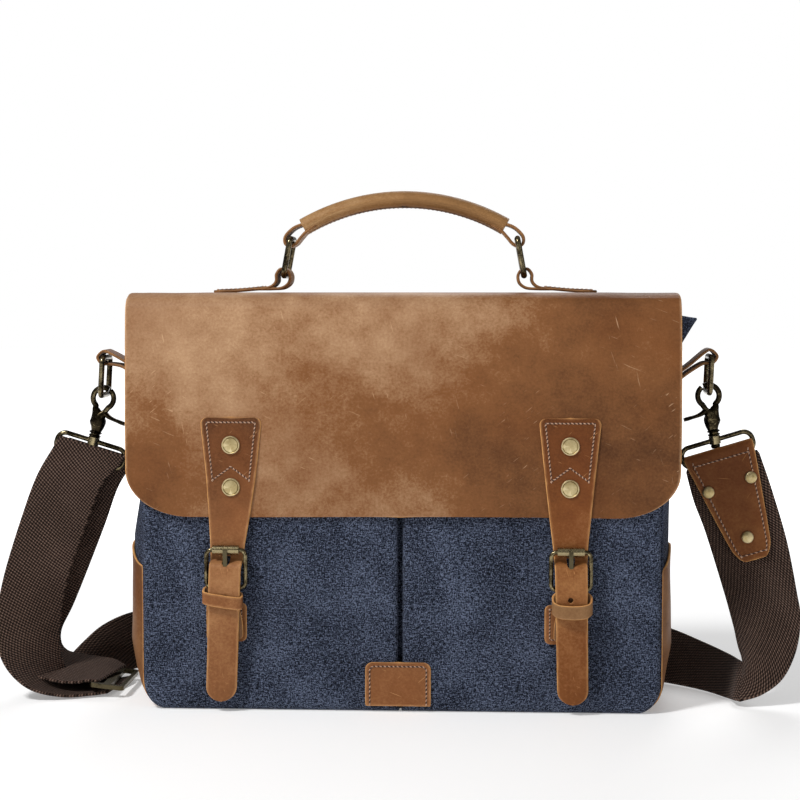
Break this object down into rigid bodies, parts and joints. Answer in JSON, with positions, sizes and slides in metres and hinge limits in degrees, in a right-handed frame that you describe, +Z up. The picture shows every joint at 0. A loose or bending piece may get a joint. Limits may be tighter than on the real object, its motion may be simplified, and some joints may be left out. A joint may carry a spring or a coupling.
{
  "type": "messenger bag",
  "caption": "Canvas and leather messenger bag with a full flap, buckled magnetic closures, top handle and webbing shoulder strap on snap hooks.",
  "frame": {"origin": "centre of the bag's underside, on the surface it stands on", "axes": "+Z up, the front faces -Y, +X to the right seen from the front"},
  "size_m": [0.5887, 0.1579, 0.3736],
  "materials": {
    "canvas": "washed cotton canvas",
    "lining": "plain woven lining",
    "flap_leather": "waxed pull-up leather",
    "strap_leather": "waxed pull-up leather, redder",
    "webbing": "ribbed cotton webbing",
    "antique_brass": "antique brass plate, worn",
    "rivet_brass": "brushed antique brass",
    "board": "stiffener board",
    "core": "twisted cord core"
  },
  "bodies": {
    "root": {"front_panel": "canvas", "back_panel": "canvas", "gusset_left": "canvas", "gusset_right": "canvas", "bottom_panel": "canvas", "lining": "lining", "base_board": "board", "divider": "lining", "pocket_left": "canvas", "pocket_right": "canvas", "label_patch": "strap_leather", "side_leather_left": "strap_leather", "side_leather_right": "strap_leather", "flap_back": "flap_leather", "side_tab_left": "strap_leather", "side_tab_right": "strap_leather", "snap_base_left": "strap_leather", "snap_base_right": "strap_leather", "snap_sockets": "antique_brass", "webbing_left_front": "webbing", "webbing_left_back": "webbing", "webbing_right": "webbing", "webbing_rear": "webbing", "strap_end_leather": "strap_leather", "strap_end_rivets": "rivet_brass", "strap_slider": "antique_brass", "strap_ring_left": "antique_brass", "strap_ring_right": "antique_brass"},
    "flap_top": {"flap_top": "flap_leather", "handle_tab_left": "strap_leather", "handle_tab_right": "strap_leather"},
    "flap_front": {"flap_front": "flap_leather", "closure_strap_left": "strap_leather", "closure_strap_right": "strap_leather", "flap_rivets": "rivet_brass", "buckle_frame_left": "antique_brass", "buckle_frame_right": "antique_brass", "buckle_chape_left": "strap_leather", "buckle_chape_right": "strap_leather", "strap_keeper_left": "strap_leather", "strap_keeper_right": "strap_leather", "snap_studs": "antique_brass"},
    "buckle_prong_left": {"buckle_prong_left": "antique_brass"},
    "buckle_prong_right": {"buckle_prong_right": "antique_brass"},
    "buckle_roller_left": {"buckle_roller_left": "antique_brass"},
    "buckle_roller_right": {"buckle_roller_right": "antique_brass"},
    "handle_ring_left": {"handle_ring_left": "antique_brass"},
    "handle_ring_right": {"handle_ring_right": "antique_brass"},
    "handle_grip": {"handle_grip": "strap_leather", "handle_core": "core", "handle_loops": "strap_leather"},
    "side_ring_left": {"side_ring_left": "antique_brass"},
    "side_ring_right": {"side_ring_right": "antique_brass"},
    "snap_hook_left": {"snap_hook_left": "antique_brass", "lever_pivot_left": "antique_brass"},
    "snap_hook_right": {"snap_hook_right": "antique_brass", "lever_pivot_right": "antique_brass"},
    "hook_lever_left": {"hook_lever_left": "antique_brass"},
    "hook_lever_right": {"hook_lever_right": "antique_brass"}
  },
  "joints": [
    {"name": "flap_back_hinge", "type": "hinge", "parent": "root", "child": "flap_top", "pos_m": [0, 0.05, 0.292], "axis": [-1, 0, 0], "range_deg": [0, 165]},
    {"name": "flap_front_bend", "type": "hinge", "parent": "flap_top", "child": "flap_front", "pos_m": [0, -0.0525, 0.2925], "axis": [-1, 0, 0], "range_deg": [0, 85]},
    {"name": "roller_spin_left", "type": "hinge", "parent": "flap_front", "child": "buckle_roller_left", "pos_m": [-0.1232, -0.071, 0.1168], "axis": [1, 0, 0], "continuous": true},
    {"name": "prong_lift_left", "type": "hinge", "parent": "flap_front", "child": "buckle_prong_left", "pos_m": [-0.1232, -0.071, 0.09], "axis": [1, 0, 0], "range_deg": [0, 8]},
    {"name": "roller_spin_right", "type": "hinge", "parent": "flap_front", "child": "buckle_roller_right", "pos_m": [0.1207, -0.071, 0.1168], "axis": [1, 0, 0], "continuous": true},
    {"name": "prong_lift_right", "type": "hinge", "parent": "flap_front", "child": "buckle_prong_right", "pos_m": [0.1207, -0.071, 0.09], "axis": [1, 0, 0], "range_deg": [0, 8]},
    {"name": "handle_sway", "type": "hinge", "parent": "flap_top", "child": "handle_ring_left", "pos_m": [-0.088, 0, 0.3112], "axis": [0, 1, 0], "range_deg": [-22, 22]},
    {"name": "handle_ring_right_turn", "type": "hinge", "parent": "flap_top", "child": "handle_ring_right", "pos_m": [0.088, 0, 0.3112], "axis": [0, 1, 0], "range_deg": [-22, 22]},
    {"name": "grip_level", "type": "hinge", "parent": "handle_ring_left", "child": "handle_grip", "pos_m": [-0.083, 0, 0.3382], "axis": [0, 1, 0], "range_deg": [-24, 24]},
    {"name": "side_ring_swing_left", "type": "hinge", "parent": "root", "child": "side_ring_left", "pos_m": [-0.2225, 0, 0.2505], "axis": [0, 1, 0], "range_deg": [-2.5, 2.5]},
    {"name": "side_ring_swing_right", "type": "hinge", "parent": "root", "child": "side_ring_right", "pos_m": [0.224, 0, 0.252], "axis": [0, 1, 0], "range_deg": [-2.5, 2.5]},
    {"name": "hook_swivel_left", "type": "hinge", "parent": "root", "child": "snap_hook_left", "pos_m": [-0.2327, 0, 0.1881], "axis": [0.2419, 0, 0.9703], "range_deg": [-20, 20]},
    {"name": "lever_press_left", "type": "hinge", "parent": "snap_hook_left", "child": "hook_lever_left", "pos_m": [-0.22919, 0, 0.20217], "axis": [0, 1, 0], "range_deg": [0, 22], "stiffness_Nm_per_rad": 0.02},
    {"name": "hook_swivel_right", "type": "hinge", "parent": "root", "child": "snap_hook_right", "pos_m": [0.2283, 0, 0.1907], "axis": [-0.1513, 0, 0.9885], "range_deg": [-20, 20]},
    {"name": "lever_press_right", "type": "hinge", "parent": "snap_hook_right", "child": "hook_lever_right", "pos_m": [0.22611, 0, 0.20503], "axis": [0, -1, 0], "range_deg": [0, 22], "stiffness_Nm_per_rad": 0.02}
  ],
  "couplings": [
    {"joint": "handle_ring_right_turn", "follows": "handle_sway", "ratio": 1},
    {"joint": "grip_level", "follows": "handle_sway", "ratio": -1.059}
  ]
}
